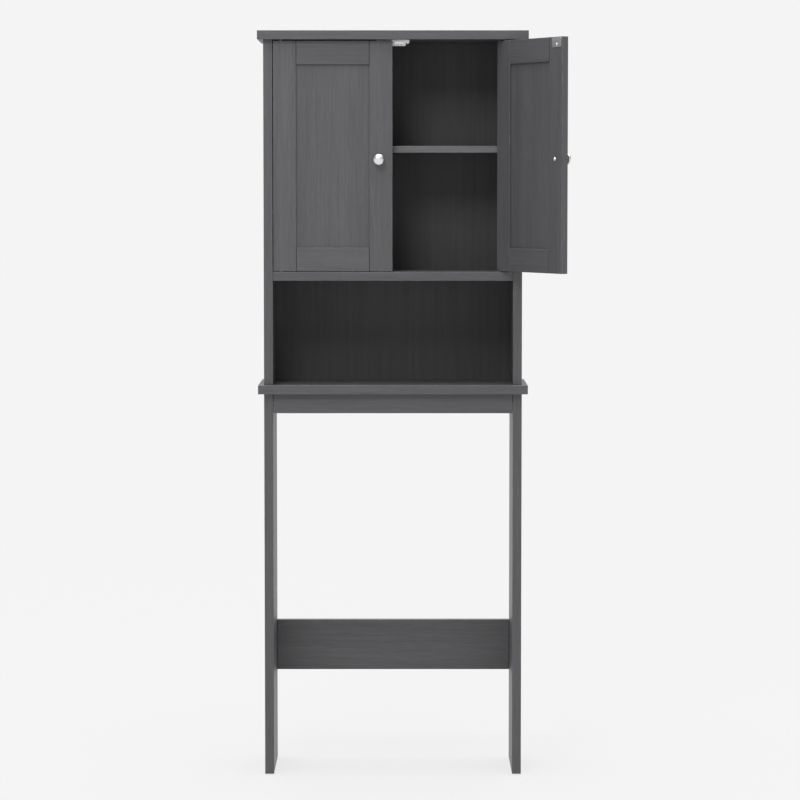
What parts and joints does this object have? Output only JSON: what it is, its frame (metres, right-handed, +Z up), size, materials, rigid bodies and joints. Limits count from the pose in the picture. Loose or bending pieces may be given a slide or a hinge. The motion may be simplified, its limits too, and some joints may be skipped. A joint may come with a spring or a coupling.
{
  "type": "over the toilet storage cabinet",
  "caption": "Tall charcoal wood-grain cabinet on flat panel legs that stands over a toilet, with hinged framed doors, an open shelf below and a rear stretcher.",
  "frame": {"origin": "on the floor, midway between the four foot glides", "axes": "+X to the viewer's right, +Y to the wall behind, +Z up"},
  "size_m": [0.6852, 0.4313, 1.662],
  "materials": {
    "painted_board": "charcoal grey, satin, with a fine wood grain",
    "painted_hardboard": "charcoal grey, matt",
    "zinc_plated_steel": "zinc plated, satin",
    "zinc_alloy": "die cast, satin",
    "beech": "bare, matt",
    "dark_plastic": "matt",
    "white_plastic": "matt",
    "plated_magnet": "nickel plated, satin",
    "knob_metal": "satin nickel"
  },
  "bodies": {
    "cabinet": {"top_board": "painted_board", "ledge_board": "painted_board", "left_side_panel": "painted_board", "right_side_panel": "painted_board", "cabinet_floor": "painted_board", "adjustable_shelf": "painted_board", "back_panel": "painted_hardboard", "shelf_pins": "zinc_plated_steel", "left_leg_panel": "painted_board", "right_leg_panel": "painted_board", "front_apron": "painted_board", "wall_rail": "painted_board", "rear_stretcher": "painted_board", "cam_locks": "zinc_alloy", "cam_bolts": "zinc_plated_steel", "wood_dowels": "beech", "foot_glides": "dark_plastic", "pivot_bushes": "dark_plastic", "catch_housing": "white_plastic", "catch_magnets": "plated_magnet", "catch_pole_plates": "zinc_plated_steel", "catch_screws": "zinc_plated_steel"},
    "left_door": {"left_hinge_stile": "painted_board", "left_meeting_stile": "painted_board", "left_top_rail": "painted_board", "left_bottom_rail": "painted_board", "left_door_panel": "painted_board", "left_bottom_pivot_pin": "zinc_plated_steel", "left_top_pivot_pin": "zinc_plated_steel", "left_knob": "knob_metal", "left_knob_screw": "zinc_plated_steel", "left_strike_plate": "zinc_plated_steel", "left_strike_screw": "zinc_plated_steel"},
    "right_door": {"right_hinge_stile": "painted_board", "right_meeting_stile": "painted_board", "right_top_rail": "painted_board", "right_bottom_rail": "painted_board", "right_door_panel": "painted_board", "right_bottom_pivot_pin": "zinc_plated_steel", "right_top_pivot_pin": "zinc_plated_steel", "right_knob": "knob_metal", "right_knob_screw": "zinc_plated_steel", "right_strike_plate": "zinc_plated_steel", "right_strike_screw": "zinc_plated_steel"}
  },
  "joints": [
    {"name": "left_door_pivot", "type": "hinge", "parent": "cabinet", "child": "left_door", "pos_m": [-0.2485, -0.1035, 1.3851], "axis": [0, 0, -1], "range_deg": [0, 145]},
    {"name": "right_door_pivot", "type": "hinge", "parent": "cabinet", "child": "right_door", "pos_m": [0.2485, -0.1035, 1.3851], "axis": [0, 0, 1], "range_deg": [-120, 25]}
  ]
}
